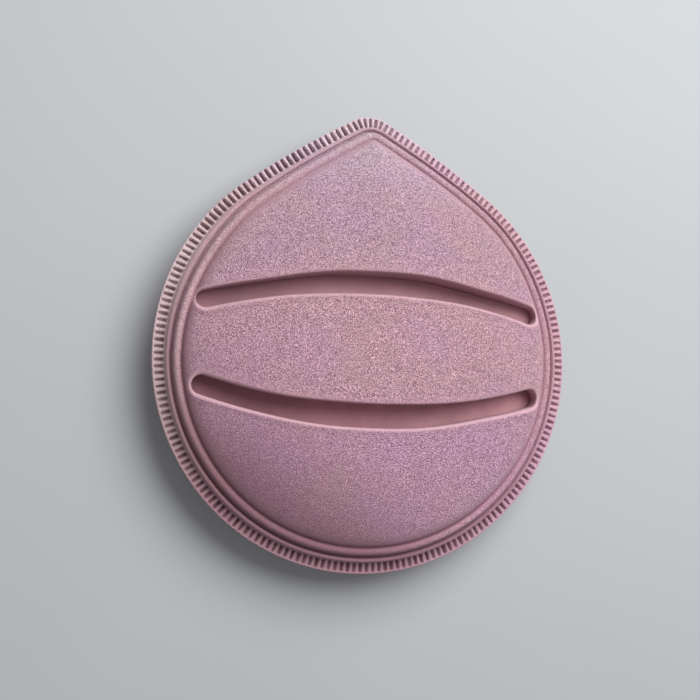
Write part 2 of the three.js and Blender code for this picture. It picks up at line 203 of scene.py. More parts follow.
class Slot:
    """One slot, on side 1 towards the tip or on side -1 towards the heel."""

    def __init__(self, side, place, arch, end_x, shift, lean, **edges):
        self.side, self.end_x = side, end_x
        vars(self).update(edges)  # the tapers, bows and lips by their names
        self.shift = np.array([shift, 0.0])
        lean = math.radians(lean)
        self.lay = np.array([[math.cos(lean), math.sin(lean)], [-math.sin(lean), math.cos(lean)]])
        self.radius = (end_x ** 2 + arch ** 2) / (2 * arch)
        self.centre_y = place - self.radius
        self.half_turn = math.asin(end_x / self.radius)

    def half_width(self, turn, across):
        """Half the width, less the taper of the outer side and of the band's side, and with their bows."""
        along = np.abs(turn / self.half_turn)
        bow = pressed_line(turn / self.half_turn, self.bow_place, self.bow_length)
        outer = self.outer_bow * bow - self.taper * ease(0.2, 0.75, along)
        band = self.band_bow * bow - self.band_taper * ease(0.1, 0.6, along)
        return slot_width / 2 + outer * (1 + across) / 2 + band * (1 - across) / 2

    def heelward(self, across):
        """Runs from 0 on the edge nearer the tip to 1 on the one nearer the heel."""
        return (1 + self.side * -across) / 2

    def nearest(self, points):
        """The gap to the edge, the way across, -1 on the band's side to 1, and along, 0 to 1.

        Then how wide the lip's round is there, and how deep."""
        x, y = ((points - self.shift) @ self.lay).T
        y = self.side * y
        turn = np.clip(np.arctan2(x, y - self.centre_y), -self.half_turn, self.half_turn)
        off_x = x - self.radius * np.sin(turn)
        off_y = y - self.centre_y - self.radius * np.cos(turn)
        gap = np.hypot(off_x, off_y)
        across = (off_x * np.sin(turn) + off_y * np.cos(turn)) / np.maximum(gap, 1e-6)
        along = np.abs(turn / self.half_turn)
        side = self.band_lip + (self.outer_lip - self.band_lip) * (across + 1) / 2
        end = np.maximum(np.sqrt(np.clip(1 - across ** 2, 0, 1)), 0.85 * along ** 3)
        width, depth = side + (self.end_lip - side) * end, side + (end_lip_depth - side) * end
        return gap - self.half_width(turn, across), across, along, width, depth

    def edge(self, spacing):
        """Evenly spaced points round the slot's edge, counter-clockwise, and the way out at each."""
        count = int(2 * self.end_x / spacing)
        reach = self.half_turn
        outer, inner = np.linspace(reach, -reach, count), np.linspace(-reach, reach, count)
        end = np.linspace(0, math.pi, int(math.pi * slot_width / 2 / spacing) + 2)[1:-1]
        turns = np.concatenate([outer, np.full(len(end), -reach), inner, np.full(len(end), reach)])
        ways = np.concatenate([outer, -reach - end, inner + math.pi, reach + math.pi - end])
        across = np.cos(ways - turns)
        middle = np.column_stack([self.radius * np.sin(turns), self.centre_y + self.radius * np.cos(turns)])
        out = np.column_stack([np.sin(ways), np.cos(ways)])
        points = middle + out * self.half_width(turns, across)[:, None]
        if self.side < 0:
            points, out = points[::-1] * [1, -1], out[::-1] * [1, -1]
        return points @ self.lay.T + self.shift, out @ self.lay.T


# %% Place the two slots
front_slot = Slot(
    side=1, place=14.0, arch=3.95, end_x=32.45, shift=-0.05, lean=0.4, taper=0.8, band_taper=0.2,
    bow_place=-0.25, bow_length=0.7, outer_bow=-0.3, band_bow=0.0,
    band_lip=0.6, outer_lip=0.45, end_lip=0.85)
rear_slot = Slot(
    side=-1, place=11.4, arch=4.65, end_x=32.6, shift=-0.1, lean=0.8, taper=0.65, band_taper=0.3,
    bow_place=-0.65, bow_length=0.33, outer_bow=0.4, band_bow=-0.16,
    band_lip=0.35, outer_lip=0.62, end_lip=0.9)
slots = [front_slot, rear_slot]
print("radii of the slots' arcs:", [round(slot.radius, 1) for slot in slots], "mm")


# %% [markdown]
# ## The skin's height
#
# The mould presses the skin's outer edge down to the rim, leaves a soft bead, presses a second groove and
# then lets the foam rise in a shoulder to the crowned panel. That edge is drawn as a section of straight
# lines, which a short blur rounds as cloth does, and a smooth minimum rounds the corner where the shoulder
# meets the crown. The pressed lines don't follow the cut outline quite evenly: they lie a little further in
# on the left flank and further out on the right one, as if the skin had lain askew in the mould, and left
# of the tip they are only half as deep. A few slow waves, a twentieth of a millimetre high, keep the
# surface from looking machined.

# %% Draw the section, and what changes round the outline
def smooth_minimum(a, b, blend):
    return -blend * np.logaddexp(-a / blend, -b / blend)


first_groove, second_groove = 3.42, 5.26
section = np.array([  # inset and height of each corner: first groove, bead, second groove, shoulder
    (3.0, 10.78), (first_groove, 10.65), (3.6, 11.25), (3.85, 12.0), (4.15, 12.3), (4.6, 12.32),
    (4.95, 12.16), (5.15, 11.95), (second_groove, 11.78), (5.4, 12.2), (5.95, 13.2), (6.6, 14.0), (9.0, 16.4),
])
section_insets = np.linspace(section[0, 0] - 1, section[-1, 0], 701)
faint_section = np.array([(first_groove, 10.9), (3.9, 11.9), (5.3, 12.35), (6.6, 14.0)])
blur = np.exp(-(np.arange(-14, 15) / 5.5) ** 2)
away_from_ends = slice(20, -20)
section_heights = np.interp(section_insets, *section.T)
section_heights[away_from_ends] = np.convolve(section_heights, blur / blur.sum(), "same")[away_from_ends]


def turn_of(points):
    """Degrees round the heel's middle, from 0 at the right to 90 at the tip."""
    return np.degrees(np.arctan2(points[:, 1], points[:, 0]))


def wander(points):
    """How much further in than drawn the pressed lines lie, in each point's direction."""
    turn = turn_of(points)
    return 0.6 * pressed_line(turn, 150, 21) - 0.45 * pressed_line(turn, 58, 24)


def rubbed(points):
    """How much the edge is rubbed pale, from the tip down the left side."""
    turn = turn_of(points) % 360
    return (0.5 * ease(70, 100, turn) + 0.5 * ease(130, 160, turn)) * ease(225, 195, turn)


def low_left(points, low=-0.3, high=0.6):
    """Runs from 0 at the upper right to 1 at the heel's lower left, away from the light, for painted shade.
    """
    return ease(low, high, -(points[:, 0] * 0.5 + points[:, 1] * 0.85) / heel_radius)


def waves(points, size, length):
    """Slow uneven waves, always the same."""
    x, y = points[:, :2].T / length
    return size * (
        np.sin(3.1 * x + 1.9 * y + 0.4) + np.sin(-2.3 * x + 4.1 * y + 2.1) + np.sin(5.3 * x - 1.1 * y)) / 2


# %% Write the heights of the skin, its lips and the cloth
def skin_height(points):
    """The height of the plain skin, without the slots."""
    inset = inset_of(points) - wander(points)
    beyond = np.maximum(inset - section[-1, 0], 0) * shoulder_slope
    edge = np.interp(inset, section_insets, section_heights)
    faint = 0.5 * pressed_line(turn_of(points), 116, 20) * (inset > first_groove) * (inset < 6.6)
    shoulder = edge + faint * (np.interp(inset, faint_section[:, 0], faint_section[:, 1]) - edge) + beyond
    crown = panel_edge_height + crown_rise * (1 - share_of(points, panel_inset) ** crown_power)
    return smooth_minimum(shoulder, crown, 0.32) + waves(points, 0.05, 9.0)


def lip_drop(points):
    """How far the rounded lips fall below the plain skin. A raised bead outside them falls less than 0."""
    drop = np.zeros(len(points))
    on_panel = ease(5.5, 6.4, inset_of(points) - wander(points))
    for slot in slots:
        gap, across, _, width, depth = slot.nearest(points)
        inside = np.clip(1 - gap / width, 0, 1)
        raised = (0.04 + 0.16 * slot.heelward(across)) * on_panel * pressed_line(gap, width, 0.45)
        drop = drop + depth * (1 - np.sqrt(1 - inside ** 2)) - raised
    return drop


def cloth_height(points):
    """The top of the cloth at the bottom of the slots."""
    return cloth_edge + cloth_rise * (1 - share_of(points, skin_inset) ** 2)


print(f"over the heel's middle the skin is {skin_height(np.full((1, 2), 0.001))[0]:.1f} mm high")

# %% [markdown]
# ## From points to a piece
#
# A piece is a list of points and faces. Plan shapes with holes are filled by a Delaunay triangulation,
# which keeps rows of points where the form turns fast and leaves wide spacing where it is calm. The
# triangles that fall in a slot are dropped.

# %% Make a mesh object
def make_piece(name, points, faces):
    """A smooth mesh object from millimetre points round the heel's middle."""
    mesh = bpy.data.meshes.new(name)
    mesh.from_pydata(((np.asarray(points, float) + [0, heel_y, 0]) * mm).tolist(), [], faces)
    mesh.shade_smooth()
    mesh.update()
    piece = bpy.data.objects.new(name, mesh)
    scene.collection.objects.link(piece)
    print(f"{name}: {len(mesh.vertices)} points, {len(mesh.polygons)} faces")
    return piece


def mark(piece, name, values):
    """Keeps a number on each point, for the finish to read."""
    kept = piece.data.attributes.new(name, "FLOAT", "POINT").data
    kept.foreach_set("value", np.asarray(values, np.float32))


def apply_modifiers(piece):
    """Turns what the modifiers make into the piece's own mesh."""
    graph = bpy.context.evaluated_depsgraph_get()
    shaped = bpy.data.meshes.new_from_object(
        piece.evaluated_get(graph), preserve_all_data_layers=True, depsgraph=graph)
    piece.modifiers.clear()
    piece.data = shaped


def turned(loop):
    """A loop's list from its second member on, and the first at its end."""
    return loop[1:] + loop[:1]


def triangulate(points, loops):
    """Triangles over plan points whose closed loops of point numbers are kept as edges."""
    edges = [pair for loop in loops for pair in zip(loop, turned(loop))]
    plan, _, faces, origins, _, _ = delaunay_2d_cdt([Vector(p) for p in points], edges, [], 0, 1e-7)
    place = {old: new for new, olds in enumerate(origins) for old in olds}
    plan = np.array([tuple(p) for p in plan])
    faces = np.array([tuple(f) for f in faces])
    a, b, c = (plan[faces[:, k]] for k in range(3))
    upside_down = (b[:, 0] - a[:, 0]) * (c[:, 1] - a[:, 1]) - (b[:, 1] - a[:, 1]) * (c[:, 0] - a[:, 0]) < 0
    faces[upside_down] = faces[upside_down][:, ::-1]
    return plan, faces, [[place[i] for i in loop] for loop in loops]


def hex_grid(low, high, spacing):
    """Points in even staggered rows over a box."""
    columns = np.arange(low[0], high[0], spacing)
    rows = np.arange(low[1], high[1], spacing * math.sqrt(3) / 2)
    return np.array([(x + (k % 2) * spacing / 2, y) for k, y in enumerate(rows) for x in columns])


def ring_faces(ring_total, count, closed=False):
    """Quads between rings of points in a row, and back to the first where they close."""
    numbers = np.arange(count)
    nexts = np.roll(numbers, -1)
    quads = []
    for k in range(ring_total if closed else ring_total - 1):
        a, b = k * count, (k + 1) % ring_total * count
        corners = a + numbers, b + numbers, b + nexts, a + nexts
        quads.extend(zip(*(corner.tolist() for corner in corners)))
    return quads


# %% [markdown]
# ## The suede skin
#
# The real skin is one sheet of brushed microfibre, pressed hot into a mould, so it is one mesh here too:
# rows of points along the bead and the grooves, rows round each lip, an even grid on the panels, and walls
# that turn down into the slots. Solidify gives it the thickness of the cloth.

# %% Lay the skin's points in the plan
fine, coarse = ((0.42, 0.62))
toe_inset = 3.14
lip_turns = np.radians([0, 16, 32, 48, 64, 78, 90])
margin_rows = [0.25, 0.6]

plan_points, loops = [], []
for slot in slots:
    edge, out = slot.edge(fine)
    rounds = slot.nearest(edge + out * 0.01)[3][:, None]
    loops.append(list(range(len(plan_points), len(plan_points) + len(edge))))
    for turn in lip_turns:
        plan_points.extend(edge + out * rounds * (1 - math.cos(turn)))
    for margin in margin_rows:
        plan_points.extend(edge + out * (rounds + margin))


def clear_of_slots(points, margin):
    """Which plan points lie outside the rows round the slots."""
    clear = np.ones(len(points), bool)
    for slot in slots:
        gap, _, _, width, _ = slot.nearest(points)
        clear &= gap > width + margin_rows[-1] + margin
    return clear


edge_insets = [
    toe_inset, 3.24, 3.34, 3.44, 3.54, 3.64, 3.76, 3.9, 4.08, 4.3, 4.52, 4.72, 4.88, 5.0, 5.1, 5.2, 5.3, 5.42,
    5.56, 5.72, 5.9, 6.1, 6.32, 6.56, 6.84, 7.2,
]
outline_length = 265  # mm
outline = stations(int(outline_length / fine))
for inset in edge_insets:
    row = row_at(outline, inset + wander(row_at(outline, inset)))
    if inset == toe_inset:
        loops.append(list(range(len(plan_points), len(plan_points) + len(row))))
    on_shoulder = inset > 6
    clear = clear_of_slots(row, 0.12 if on_shoulder else -0.8)  # the groove runs on beside the slots' ends
    if on_shoulder:
        clear &= np.concatenate([[True], np.linalg.norm(np.diff(row, axis=0), axis=1) > fine * 0.5])
    plan_points.extend(row[clear])

grid = hex_grid((-heel_radius, -heel_radius), (heel_radius, heel_radius + tip_reach), coarse)
on_panel = inset_of(grid) - wander(grid) > edge_insets[-1] + coarse * 0.6
grid = grid[clear_of_slots(grid, coarse * 0.6) & on_panel]
plan_points.extend(grid)
print("plan points:", len(plan_points))

# %% Raise the skin and turn its walls down
plan, faces, loops = triangulate(plan_points, loops)
middles = plan[faces].mean(axis=1)
faces = faces[np.minimum(*(slot.nearest(middles)[0] for slot in slots)) > -1e-4]
skin = np.column_stack([plan, skin_height(plan) - lip_drop(plan)])
skin_points = [skin]
skin_faces = list(map(tuple, faces.tolist()))

band_depth = 2.6  # how far the band's edge is turned down
wall_steps = [0.12, 0.3, 0.5, 0.7, 0.88, 1.0]
foot_share = 0.25  # how far across the band's edge has turned into a whole wall
foot_gap = 0.05  # between a wall's foot and the cloth
toe_depth = 0.45


def add_wall(loop, feet, steps):
    """Rings of faces from a loop of points down to their feet."""
    top = skin[loop]
    previous = list(loop)
    for step in steps:
        ring = top.copy()
        ring[:, 2] += (feet - top[:, 2]) * step
        first = sum(map(len, skin_points))
        numbers = list(range(first, first + len(ring)))
        skin_points.append(ring)
        skin_faces.extend(zip(previous, turned(previous), turned(numbers), numbers))
        previous = numbers


for slot, loop in zip(slots, loops):
    edge = plan[loop]
    across = slot.nearest(edge + slot.edge(fine)[1] * 0.01)[1]
    whole = ease(0, foot_share, (across + 1) / 2)
    feet = (skin_height(edge) - band_depth) * (1 - whole) + (cloth_height(edge) + foot_gap) * whole
    add_wall(loop, feet, wall_steps)
toe = loops[-1][::-1]
add_wall(toe, skin[toe, 2] - toe_depth, [1.0])
all_points = np.concatenate(skin_points)
suede_cover = make_piece("suede_cover", all_points, skin_faces)

# %% Mark where the mould pressed it and where light and shade are painted, for the finish
all_plan = all_points[:, :2]
insets = inset_of(all_plan) - wander(all_plan)
# The lips are paler where the mould pressed them and get a painted highlight, strongest on each slot's side
# nearer the heel, which faces the light, and less in the front slot.
front_highlight_share = 0.65
lip_highlights, gaps = [], []
for slot in slots:
    gap, across, along, width, _ = slot.nearest(all_plan)
    side = slot.heelward(across) * (front_highlight_share if slot is front_slot else 1)
    lip_highlights.append((0.2 + 0.8 * np.maximum(side, along ** 4)) * pressed_line(gap, width * 0.4, width * 0.42))
    gaps.append(gap)
gaps = np.min(gaps, axis=0)
in_slot = gaps < 0.3
# Painted shade: the walls grow darker deeper down in a slot.
depth = np.clip((skin_height(all_plan) - all_points[:, 2] - 0.9) / 3, 0, 1) * in_slot
# The grooves are painted dark: partly the crushed cloth, mostly painted shade, strongest round the heel's
# lower left, away from the light.
grooves = (
    pressed_line(insets, second_groove, 0.3) + 0.2 * pressed_line(insets, 5.65, 0.45)
    + pressed_line(insets, first_groove, 0.2) + (insets < first_groove))
on_bead = pressed_line(insets, 4.3, 0.75)
beside_lines = 0.7 * pressed_line(insets, 4.4, 1.1) + pressed_line(insets, 5.8, 0.9)
beside_slots = pressed_line(np.maximum(gaps, 0), 0, 0.9)
skin_marks = {
    "groove_shade": (0.4 + 0.6 * low_left(all_points)) * np.clip(grooves, 0, 1),
    # painted shade on the bead round the heel's lower left, away from the light
    "bead_shade": low_left(all_points, 0.35, 0.8) * on_bead,
    "rubbed": rubbed(all_points) * on_bead,
    "pressed": np.clip(beside_lines + beside_slots, 0, 1),
    "lip": np.max(lip_highlights, axis=0) * (1 - depth),
    "depth": depth,
    # painted shadow: a dark line where a slot's wall meets the cloth
    "foot": ease(2.2, 0.2, all_points[:, 2] - cloth_height(all_plan)) * in_slot,
}
for name, values in skin_marks.items():
    mark(suede_cover, name, values)
print("marks:", *skin_marks)

# %% Give it the thickness of the cloth
thickness = suede_cover.modifiers.new("cloth thickness", "SOLIDIFY")
thickness.thickness, thickness.offset = 0.4 * mm, -1
apply_modifiers(suede_cover)
print("suede_cover with its thickness:", len(suede_cover.data.polygons), "faces")

# %% [markdown]
# ## The welded rim
#
# All the layers are pressed together at the edge by a hot tool with fine teeth. It leaves radial ribs with
# valleys that are narrow at the outer end and wide and deep at the inner one, a thin smooth edge outside
# them and a smooth ledge inside. No two ribs come out quite alike, so each has a little of its own depth
# and width, and left of the tip the teeth bit deeper and right out to the edge. A fine mesh in rows round
# the outline can carry that as real form.

# %% Set the ribs' sizes
rib_count = 207
points_per_rib = 12
rib_start, rib_end = 0.16, 2.28
edge_height = rim_base + 1.1
crest_start, crest_rise = 0.12, 0.38  # over the edge's height
round_edge = 0.2
rim_inner = 3.1
rng = np.random.default_rng(5)
rib_depth = 0.85 * (1 + 0.15 * rng.standard_normal(rib_count).clip(-2, 2))
rib_width = 1 + 0.10 * rng.standard_normal(rib_count).clip(-2, 2)
print(f"the teeth's marks are {rib_depth.min():.2f} to {rib_depth.max():.2f} mm deep")

rim_stations = stations(rib_count * points_per_rib)
number = np.arange(rib_count * points_per_rib)
rib = number // points_per_rib
phase = np.abs((number % points_per_rib) / points_per_rib - 0.5) * 2
bitten = pressed_line(turn_of(row_at(rim_stations, 0)), 118, 26)
tooth_depth = rib_depth[rib] * (1 + 0.25 * bitten)


def valley_at(inset):
    """How deep in a valley each station is at an inset, from 0 to 1."""
    way = min(max((inset - rib_start) / (rib_end - rib_start), 0), 1)
    width = (0.6 + 0.34 * way) * rib_width[rib]
    across = (0.5 + 0.5 * np.cos(math.pi * np.clip(phase / width, 0, 1))) ** 0.9
    ends = ease(rib_start, rib_start + 0.35, inset + 0.25 * bitten)
    ends *= 1 - ease(rib_end - 0.4, rib_end, inset)
    return across * ends * (0.55 + 0.45 * way + 0.35 * bitten * (1 - way))


def crest_at(inset):
    """The height of the ribs' crests, and of the smooth ledge inside them."""
    crest = edge_height + crest_start + crest_rise * ease(round_edge, rib_end, inset)
    ledge = ledge_top - edge_height - (crest_start + crest_rise)
    return crest + ledge * ease(rib_end - 0.1, 2.52, inset) - 0.3 * ease(2.9, rim_inner, inset)


# %% Build the rim
top_insets = [
    rim_inner, 3.06, 3.0, 2.94, 2.88, 2.8, 2.72, 2.64, 2.56, 2.48, 2.4, 2.32, 2.24, 2.16, 2.08, 1.98, 1.8,
    1.55, 1.3, 1.05, 0.85, 0.7, 0.6, 0.52, 0.45, 0.38, 0.31, 0.25, round_edge,
]
foot, bare = np.full(len(number), rim_base), 0 * phase
rim_rows = [(rim_inner, foot, bare)]
for inset in top_insets:
    valley = valley_at(inset)
    rim_rows.append((inset, crest_at(inset) - valley * tooth_depth, valley))
for turn in np.radians([30, 60, 90]):
    height = crest_at(round_edge) - round_edge * (1 - math.cos(turn)) - valley * tooth_depth * math.cos(turn)
    rim_rows.append((round_edge * (1 - math.sin(turn)), height, valley * math.cos(turn)))
rim_rows += [(0.0, foot + 0.25, bare), (0.12, foot, bare)]
rim_drift = wander(row_at(rim_stations, rim_inner))
rim_points = np.concatenate([
    np.column_stack([row_at(rim_stations, inset + rim_drift * ease(1.9, rim_inner, inset)), height])
    for inset, height, _ in rim_rows
])
rim_weld = make_piece("rim_weld", rim_points, ring_faces(len(rim_rows), len(number), closed=True))
mark(rim_weld, "valley", np.concatenate([valley for _, _, valley in rim_rows]))
mark(rim_weld, "ledge", np.repeat([float(ease(2.2, 2.6, inset)) for inset, _, _ in rim_rows], len(number)))
mark(rim_weld, "low_left", low_left(rim_points))
mark(rim_weld, "rubbed", rubbed(rim_points))

# %% [markdown]
# ## The cloth in the pocket
#
# At the bottom of both slots shows one smooth knitted cloth, stretched over the sponge and caught in the
# weld all round. It is a thin, slightly uneven sheet.

# %% Build the thin layers and pads with one helper
def inside(points, loop):
    """Which plan points lie inside a loop: a ray from there crosses it an odd number of times."""
    before, after = loop, np.roll(loop, -1, axis=0)
    x, y = points[:, :1], points[:, 1:]
    crosses = (before[:, 1] > y) != (after[:, 1] > y)
    rise = np.where(np.abs(after[:, 1] - before[:, 1]) < 1e-9, 1e-9, after[:, 1] - before[:, 1])
    meets = x < before[:, 0] + (y - before[:, 1]) * (after[:, 0] - before[:, 0]) / rise
    return (crosses & meets).sum(axis=1) % 2 == 1


def to_loop(points, loop):
    """How far plan points lie from the nearest point of a loop."""
    return np.min(np.linalg.norm(points[:, None] - loop[None], axis=2), axis=1)


def pad_piece(name, loop, spacing, top, bottom, edge_round):
    """A closed body over a plan loop, between two heights, with its upper and lower edges rounded."""
    grid = hex_grid(loop.min(axis=0), loop.max(axis=0), spacing)
    grid = grid[inside(grid, loop)]
    grid = grid[to_loop(grid, loop) > spacing * 0.6]
    plan, faces, (edge,) = triangulate(np.concatenate([loop, grid]), [list(range(len(loop)))])
    faces = faces[inside(plan[faces].mean(axis=1), loop)]
    depth = np.clip(edge_round - to_loop(plan, loop), 0, edge_round)
    drop = edge_round - np.sqrt(edge_round ** 2 - depth ** 2)
    upper, lower = top(plan), bottom(plan)
    drop = np.minimum(drop, (upper - lower) * 0.45)
    count = len(plan)
    points = np.concatenate([np.column_stack([plan, upper - drop]), np.column_stack([plan, lower + drop])])
    solid = list(map(tuple, faces.tolist() + (faces[:, ::-1] + count).tolist()))
    solid += [(a, a + count, b + count, b) for a, b in zip(edge, turned(edge))]
    return make_piece(name, points, solid)


def outline_loop(inset, count):
    return row_at(stations(count), inset)


pocket_cloth = pad_piece(
    "pocket_cloth", outline_loop(3.45, 420), 0.9,
    lambda p: cloth_height(p) + waves(p, 0.08, 6.0), lambda p: cloth_height(p) - cloth_thickness + 0.1, 0.2)

# %% [markdown]
# ## The foam under the skin
#
# Under the tip and the heel the space between the skin and the pocket's cloth is filled with foam, and
# under the band there is one thin layer, so that fingers fit. The three pads are cut by the slots. Each
# is a closed form with rounded edges that keeps just clear of the skin.

# %% Build the pads and the band's lining
skin_gap, cloth_gap = 0.85, 0.25
panel_pad_inset, band_pad_inset = 5.6, 7.4
pad_spacing = 1.3


def slot_side(slot, side):
    """The plan curve of a pad's edge beside a slot, from left to right."""
    radius = slot.radius + side * (slot_width / 2 + 0.8)
    x = np.linspace(-36, 36, 90)
    return np.column_stack([x, slot.side * (slot.centre_y + np.sqrt(radius ** 2 - x ** 2))])


def loop_between(curve_low, curve_high, inset):
    """The loop of the part of the outline that lies between two curves over the width."""
    ring, kept = outline_loop(inset, 400), []
    for curve, side in ((curve_low, 1), (curve_high, -1)):
        if curve is not None:
            ring = ring[side * (ring[:, 1] - np.interp(ring[:, 0], *curve.T)) > 0.3]
            kept.append(curve[inset_of(curve) > inset + 0.2])
    points = np.concatenate([ring, *kept])
    middle = points.mean(axis=0)
    return points[np.argsort(np.arctan2(*(points - middle).T[::-1]))]


def under_skin(depth=0.0):
    """The height at a depth below the underside of the skin."""
    def height(points):
        lean = np.where(inset_of(points) < panel_inset, math.hypot(1, shoulder_slope), 1)
        return skin_height(points) - skin_gap * lean - depth
    return height


def over_cloth(points):
    return cloth_height(points) + cloth_gap


tip_loop = loop_between(slot_side(front_slot, 1), None, panel_pad_inset)
heel_loop = loop_between(None, slot_side(rear_slot, 1), panel_pad_inset)
band_loop = loop_between(slot_side(rear_slot, -1), slot_side(front_slot, -1), band_pad_inset)
tip_foam = pad_piece("tip_foam", tip_loop, pad_spacing, under_skin(), over_cloth, 0.9)
heel_foam = pad_piece("heel_foam", heel_loop, pad_spacing, under_skin(), over_cloth, 0.9)
band_foam = pad_piece("band_foam", band_loop, pad_spacing, under_skin(), under_skin(1.1), 0.5)
band_lining_cloth = pad_piece(
    "band_lining_cloth", band_loop, pad_spacing, under_skin(1.45), under_skin(1.75), 0.12)

# %% [markdown]
# ## The soft face
#
# The side that goes on the skin is a low dome of short-pile velour over open sponge. The puff's weight
# presses its middle flat on the table. It is shaped as a round form a little too small, and a cloth
# simulation with some pressure inside swells it against the weld, as the sponge does. The edge and the
# back stay pinned.

# %% Shape the dome
face_count, dome_rows = 132, 8
face_depth = rim_base
flattening = 0.5
face_inset = 2.35
fullness = 4.5  # 2 makes a round dome, and more a fuller one
hole_share = 0.06  # where the rings stop, as a share of the way out
face_stations = stations(face_count)


def drawn_ring(inset, share, height):
    """A ring of points drawn in to a share of the outline, where the tip's corner fades."""
    row = row_at(face_stations, inset)
    distance = np.hypot(*row.T)
    plain = heel_radius - inset
    drawn = plain * share + (distance - plain) * share ** tip_fade
    return np.column_stack([row * (drawn / distance)[:, None], np.full(len(row), height)])


def dome_rings(inset, wall):
    """Rings of the dome from the weld down to the flat and in to the middle."""
    depth = face_depth + flattening - wall
    flat_turn = math.asin((face_depth - wall) / depth)
    rings = []
    for i in range(dome_rows + 1):
        turn = flat_turn * i / dome_rows
        share = math.cos(turn) ** (2 / fullness) * (1 - 0.012 * (turn / flat_turn))
        rings.append(drawn_ring(inset, share, rim_base - depth * math.sin(turn)))
    for share in np.linspace(share, hole_share, 9)[1:]:
        rings.append(drawn_ring(inset, share, rim_base - (face_depth - wall)))
    return rings


def back_rings(inset):
    """Rings of the back, close under the pocket's cloth, from the middle out."""
    rings = [drawn_ring(inset, share, 0) for share in np.linspace(1, hole_share, 10)[1:]]
    for ring in rings:
        ring[:, 2] = cloth_height(ring[:, :2]) - cloth_thickness - 0.3
    return rings[::-1]


def fan(numbers):
    """A flat end of triangles and quads across a small ring, paired from side to side."""
    a, b = 0, len(numbers) - 1
    ring, quads = numbers.tolist(), []
    while b - a > 2:
        quads.append((ring[a], ring[a + 1], ring[b - 1], ring[b]))
        a, b = a + 1, b - 1
    return quads


def ring_body(name, rings):
    """A piece from rings in a row, with both ends closed."""
    first = np.arange(face_count)
    last = (len(rings) - 1) * face_count + first
    faces = ring_faces(len(rings), face_count) + fan(first[::-1]) + fan(last)
    return make_piece(name, np.concatenate(rings), faces)


back = back_rings(face_inset)
rim_ring = len(back)
dome = ring_body("dome_form", back + dome_rings(face_inset, 0.0))

# %% Swell it
def places_of(piece):
    return np.array([v.co for v in piece.data.vertices])


rest_points = places_of(dome)
last_frame = 20
pinned = dome.vertex_groups.new(name="weld")
pinned.add(list(range((rim_ring + 1) * face_count)), 1.0, "REPLACE")
cloth = dome.modifiers.new("cloth", "CLOTH")
for setting, value in {
    "quality": 4, "mass": 0.1, "tension_stiffness": 8, "compression_stiffness": 8,
    "bending_stiffness": 0.5, "use_pressure": True, "uniform_pressure_force": 4,
    "vertex_group_mass": "weld",
}.items():
    setattr(cloth.settings, setting, value)
cloth.settings.effector_weights.gravity = 0
cloth.point_cache.frame_start, cloth.point_cache.frame_end = 1, last_frame
scene.frame_start, scene.frame_end = 1, last_frame
for step in range(1, last_frame + 1):
    scene.frame_set(step)
apply_modifiers(dome)
scene.frame_set(1)
moved = places_of(dome) - rest_points
length = np.linalg.norm(moved, axis=1)
cap = 0.9 * mm
print(f"swelling: at most {length.max() / mm:.2f} mm, capped at {cap / mm:.1f} mm")
moved *= (np.minimum(length, cap) / np.maximum(length, 1e-9))[:, None]
swollen = rest_points + moved
swollen[:, 2] = np.maximum(swollen[:, 2], 0)

# %% Give it its thickness and the small puckers at the weld
face_points = swollen[rim_ring * face_count:] / mm - [0, heel_y, 0]
face_rings = len(face_points) // face_count
turn = np.arange(face_count) / face_count * 2 * math.pi
pucker = np.sin(turn * 47 + 1.3 * np.sin(turn * 5)) * 0.5 + np.sin(turn * 71 + 2 * np.sin(turn * 3 + 1)) * 0.5
for k in range(1, face_rings):
    ring = face_points[k * face_count:(k + 1) * face_count]
    fade = math.exp(-((k / dome_rows - 0.16) / 0.16) ** 2)
    ring[:, :2] *= (1 + 0.0035 * fade * pucker)[:, None]
face_end = fan(np.arange(face_count) + len(face_points) - face_count)
soft_face = make_piece("soft_face", face_points, ring_faces(face_rings, face_count) + face_end)
velour_thickness = soft_face.modifiers.new("velour thickness", "SOLIDIFY")
velour_thickness.thickness, velour_thickness.offset = 0.7 * mm, -1
soft_face.modifiers.new("smooth", "SUBSURF").levels = 2
apply_modifiers(soft_face)
soft_face.data.shade_smooth()

# %% Fill it with sponge
sponge_inset, sponge_gap = skin_inset + 0.2, 1.1
sponge_filling = ring_body("sponge_filling", back_rings(sponge_inset) + dome_rings(sponge_inset, sponge_gap))
bpy.data.objects.remove(dome)

# %% [markdown]
# ## Writing finishes
#
# A finish is a node material. To keep its maths readable, a small class wraps a socket and turns Python's
# operators into Math nodes, and one method makes any other node. Colours go through Mix nodes.

# %% Wrap sockets and materials
class Signal:
    """An output socket that can be added, multiplied and so on."""

    def __init__(self, finish, socket):
        self.finish, self.socket = finish, socket

    def maths(self, operation, *values):
        return self.finish.add("ShaderNodeMath", dict(enumerate(values)), operation=operation)

    __add__ = __radd__ = lambda self, other: self.maths("ADD", self, other)
    __mul__ = __rmul__ = lambda self, other: self.maths("MULTIPLY", self, other)
    __sub__ = lambda self, other: self.maths("SUBTRACT", self, other)
    __rsub__ = lambda self, other: self.maths("SUBTRACT", other, self)
    __abs__ = lambda self: self.maths("ABSOLUTE", self)


